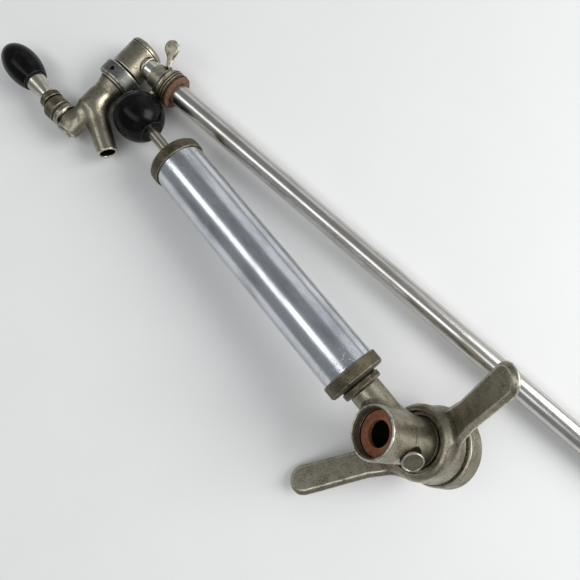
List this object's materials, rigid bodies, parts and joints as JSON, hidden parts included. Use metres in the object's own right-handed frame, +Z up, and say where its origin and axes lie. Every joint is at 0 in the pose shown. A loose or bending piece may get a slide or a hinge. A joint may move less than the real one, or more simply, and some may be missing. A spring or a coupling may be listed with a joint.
{
  "type": "keg tapping set",
  "caption": "Hand pump with winged keg coupler, and a draw rod with gland nut, cross head and lever faucet, lying side by side.",
  "frame": {"origin": "middle of the footprint, on the surface that the set lies on", "axes": "+X along the draw rod from the faucet to its foot, +Z up, the pump lies on the -Y side of the rod"},
  "size_m": [0.8158, 0.2148, 0.1368],
  "materials": {
    "nickel": "worn nickel plate, mottled",
    "steel": "brushed",
    "polished": "polished stainless tube",
    "chrome": "chrome plate with pits",
    "black": "satin black",
    "red_rubber": "aged red-brown rubber",
    "dark_rubber": "matt",
    "brass": "dull"
  },
  "bodies": {
    "rod_set": {"draw_rod": "polished", "rod_foot": "polished", "rod_head": "nickel", "coupling_washer": "red_rubber", "faucet_body": "nickel", "faucet_front_plug": "chrome", "bonnet_seal": "dark_rubber", "faucet_bonnet": "nickel"},
    "coupling_nut": {"coupling_nut": "steel"},
    "gland_washer": {"gland_washer": "red_rubber"},
    "gland_nut": {"gland_nut": "nickel"},
    "faucet_lever": {"lever_stem": "nickel", "lever_collar": "nickel", "lever_ferrule": "nickel", "lever_knob": "black"},
    "faucet_shaft": {"faucet_shaft": "brass", "faucet_seat_washer": "red_rubber"},
    "plunger": {"pump_knob": "black", "plunger_rod": "polished", "piston_cup": "dark_rubber", "piston_nut": "brass"},
    "pump_body": {"pump_barrel": "chrome", "top_collar": "nickel", "plunger_bushing": "brass", "bottom_collar": "nickel", "adaptor_gasket": "dark_rubber", "adaptor_ring": "nickel", "coupler_body": "nickel", "neck_washer": "red_rubber", "relief_plug": "nickel", "stem_locknut": "nickel", "keg_seal": "dark_rubber"},
    "locking_ring": {"wing_ring": "nickel", "lock_skirt": "nickel", "skirt_lug_1": "nickel", "skirt_lug_2": "nickel"}
  },
  "joints": [
    {"name": "coupling_nut_turn", "type": "hinge", "parent": "rod_set", "child": "coupling_nut", "pos_m": [-0.31118, 0.05413, 0.01761], "axis": [0, -1, 0], "continuous": true},
    {"name": "gland_slide", "type": "slide", "parent": "rod_set", "child": "gland_washer", "axis": [0.9999, 0, -0.0113], "range_m": [0, 0.001]},
    {"name": "gland_spin", "type": "hinge", "parent": "gland_washer", "child": "gland_nut", "pos_m": [-0.27969, 0.07613, 0.01726], "axis": [0.9999, 0, -0.0113], "range_deg": [0, 105]},
    {"name": "lever_open", "type": "hinge", "parent": "rod_set", "child": "faucet_lever", "pos_m": [-0.32618, -0.00387, 0.01778], "axis": [0.0113, 0, 0.9999], "range_deg": [0, 28]},
    {"name": "shaft_slide", "type": "slide", "parent": "rod_set", "child": "faucet_shaft", "axis": [0, 1, 0], "range_m": [0, 0.0064]},
    {"name": "pump_lift", "type": "slide", "parent": "rod_set", "child": "plunger", "axis": [0, 0, 1], "range_m": [0, 0.15]},
    {"name": "plunger_draw", "type": "slide", "parent": "plunger", "child": "pump_body", "axis": [0.9823, -0.1593, 0.0985], "range_m": [0, 0.2]},
    {"name": "ring_turn", "type": "hinge", "parent": "pump_body", "child": "locking_ring", "pos_m": [0.08259, -0.01004, 0.04165], "axis": [-0.6804, -0.3377, 0.6504], "range_deg": [0, 90]}
  ],
  "couplings": [
    {"joint": "shaft_slide", "follows": "lever_open", "m_per_rad": 0.01178}
  ]
}
